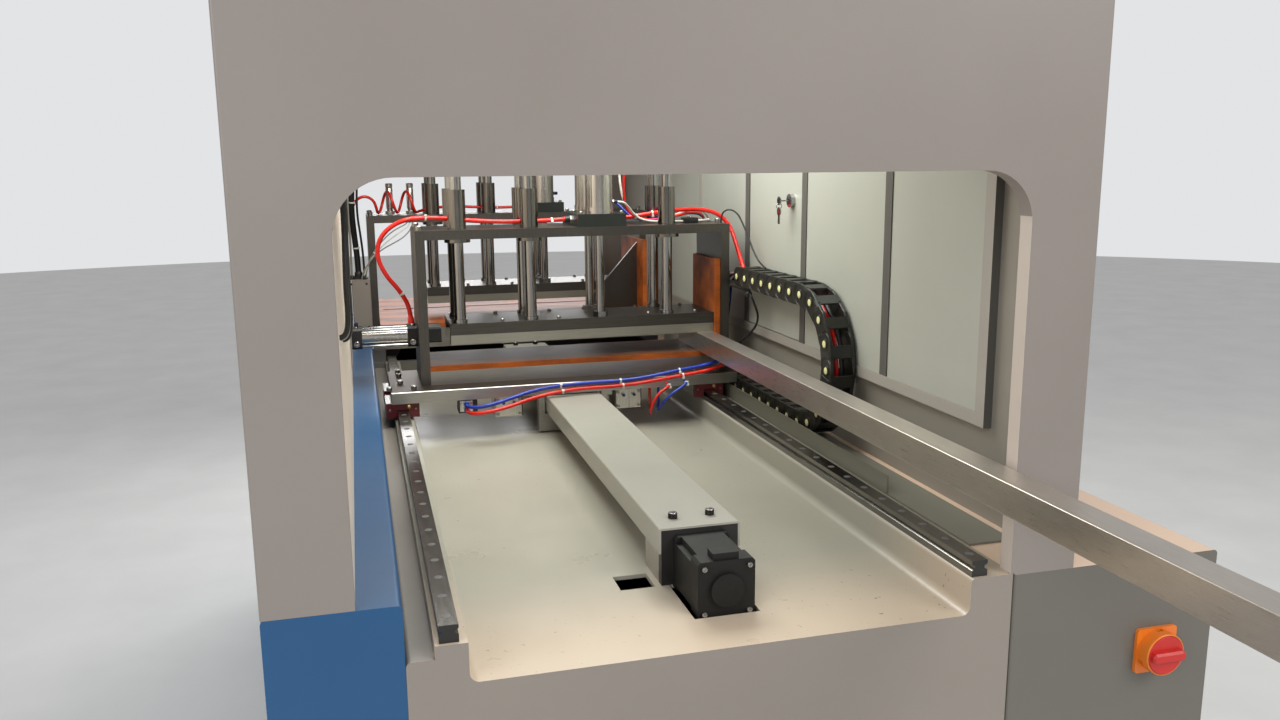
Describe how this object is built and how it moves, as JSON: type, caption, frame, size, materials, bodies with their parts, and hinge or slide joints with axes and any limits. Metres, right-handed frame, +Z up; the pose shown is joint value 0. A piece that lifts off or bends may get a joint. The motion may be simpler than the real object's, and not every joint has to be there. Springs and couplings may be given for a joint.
{
  "type": "aluminium cutting saw",
  "caption": "Enclosed aluminium cutting saw whose bar feeder carries a clamp gantry on rails towards a lifting circular saw.",
  "frame": {"origin": "on the floor, under the middle of the whole machine with its bar", "axes": "+X across to the operator's right, +Y along the feed away from the infeed end, +Z up"},
  "size_m": [1.2736, 2.96, 1.75],
  "materials": {
    "portal_paint": "satin grey-beige paint",
    "frame_paint": "satin grey paint",
    "blue_paint": "satin blue paint",
    "wall_paint": "satin cream paint",
    "panel_paint": "satin light grey paint",
    "dark_paint": "satin black paint",
    "steel": "ground steel",
    "polished": "polished steel",
    "aluminium": "milled aluminium",
    "bar_aluminium": "extruded bare aluminium",
    "phenolic": "orange-brown laminate",
    "black_plastic": "matt black plastic",
    "white_plastic": "matt light plastic",
    "orange_plastic": "orange moulded plastic",
    "red_plastic": "red moulded plastic",
    "red_hose": "smooth red tube",
    "blue_hose": "smooth blue tube",
    "black_rubber": "matt black rubber",
    "blade_steel": "ground steel"
  },
  "bodies": {
    "base": {"bed_frame": "frame_paint", "left_base": "blue_paint", "cabinet": "frame_paint", "saw_housing": "frame_paint", "levelling_feet": "steel", "infeed_portal": "portal_paint", "outfeed_portal": "portal_paint", "left_wall": "wall_paint", "right_wall": "panel_paint", "door_frame": "panel_paint", "roof": "portal_paint", "side_panels": "panel_paint", "feed_rails": "steel", "screw_cover": "aluminium", "servo_motor": "dark_paint", "screw_housings": "aluminium", "chain_tray": "wall_paint", "energy_chain": "black_plastic", "chain_cables": "black_rubber", "saw_table": "aluminium", "saw_phenolic": "phenolic", "saw_gantry": "aluminium", "saw_press_cylinders": "aluminium", "harness": "black_rubber", "saw_hose": "red_hose", "switch_base": "orange_plastic"},
    "feed_screw": {"feed_screw": "steel"},
    "carriage": {"guide_blocks": "steel", "block_end_caps": "black_plastic", "carriage_plate": "aluminium", "feed_phenolic": "phenolic", "feed_gantry": "aluminium", "feed_press_cylinders": "aluminium", "side_cylinder": "aluminium", "nut_bracket": "aluminium", "bar_stock": "bar_aluminium", "carriage_cylinders": "aluminium", "side_hose": "red_hose", "front_red_tube": "red_hose", "front_blue_tube": "blue_hose", "gantry_red_tube": "red_hose", "chain_wire": "black_rubber"},
    "feed_press": {"feed_press_beam": "aluminium", "feed_press_rods": "polished"},
    "saw_press": {"saw_press_beam": "aluminium", "saw_press_rods": "polished"},
    "side_pusher": {"side_pusher": "black_plastic"},
    "side_door": {"side_door": "panel_paint", "door_lock": "polished"},
    "key": {"door_key": "polished"},
    "cabinet_door": {"cabinet_door": "frame_paint"},
    "switch_knob": {"switch_knob": "red_plastic"},
    "saw_trolley": {"saw_trolley": "steel"},
    "saw_head": {"lift_plate": "steel", "saw_motor": "dark_paint", "drive_belt": "black_rubber"},
    "blade": {"spindle": "steel", "saw_blade": "blade_steel"},
    "motor_pulley": {"motor_pulley": "steel"}
  },
  "joints": [
    {"name": "feed", "type": "slide", "parent": "base", "child": "carriage", "axis": [0, 1, 0], "range_m": [-0.6, 0.4], "deforming": ["energy_chain", "chain_cables"]},
    {"name": "screw_spin", "type": "hinge", "parent": "base", "child": "feed_screw", "pos_m": [-0.06785, 0.08, 0.796], "axis": [0, 1, 0], "range_deg": [-10900, 7300]},
    {"name": "feed_press_lift", "type": "slide", "parent": "carriage", "child": "feed_press", "axis": [0, 0, 1], "range_m": [0, 0.15]},
    {"name": "saw_press_lift", "type": "slide", "parent": "base", "child": "saw_press", "axis": [0, 0, 1], "range_m": [0, 0.15]},
    {"name": "side_clamp", "type": "slide", "parent": "carriage", "child": "side_pusher", "axis": [1, 0, 0], "range_m": [0, 0.08]},
    {"name": "saw_traverse", "type": "slide", "parent": "base", "child": "saw_trolley", "axis": [1, 0, 0], "range_m": [0, 0.37]},
    {"name": "saw_lift", "type": "slide", "parent": "saw_trolley", "child": "saw_head", "axis": [0, 0, 1], "range_m": [0, 0.13]},
    {"name": "blade_spin", "type": "hinge", "parent": "saw_head", "child": "blade", "pos_m": [-0.24285, 1.18, 0.675], "axis": [0, 1, 0], "continuous": true},
    {"name": "motor_spin", "type": "hinge", "parent": "saw_head", "child": "motor_pulley", "pos_m": [-0.24285, 1.18, 0.375], "axis": [0, 1, 0], "continuous": true},
    {"name": "side_door_hinge", "type": "hinge", "parent": "base", "child": "side_door", "pos_m": [0.39835, 0.252, 1.227], "axis": [0, 0, 1], "range_deg": [0, 100]},
    {"name": "key_turn", "type": "hinge", "parent": "side_door", "child": "key", "pos_m": [0.36715, 0.005, 1.267], "axis": [1, 0, 0], "range_deg": [0, 90]},
    {"name": "cabinet_door_hinge", "type": "hinge", "parent": "base", "child": "cabinet_door", "pos_m": [0.63235, 0.18, 0.44], "axis": [0, 0, 1], "range_deg": [0, 110]},
    {"name": "main_switch", "type": "hinge", "parent": "base", "child": "switch_knob", "pos_m": [0.53215, -0.92, 0.675], "axis": [0, 1, 0], "range_deg": [0, 90]}
  ],
  "couplings": [
    {"joint": "screw_spin", "follows": "feed", "rad_per_m": 314.16},
    {"joint": "motor_spin", "follows": "blade_spin", "ratio": 1}
  ]
}
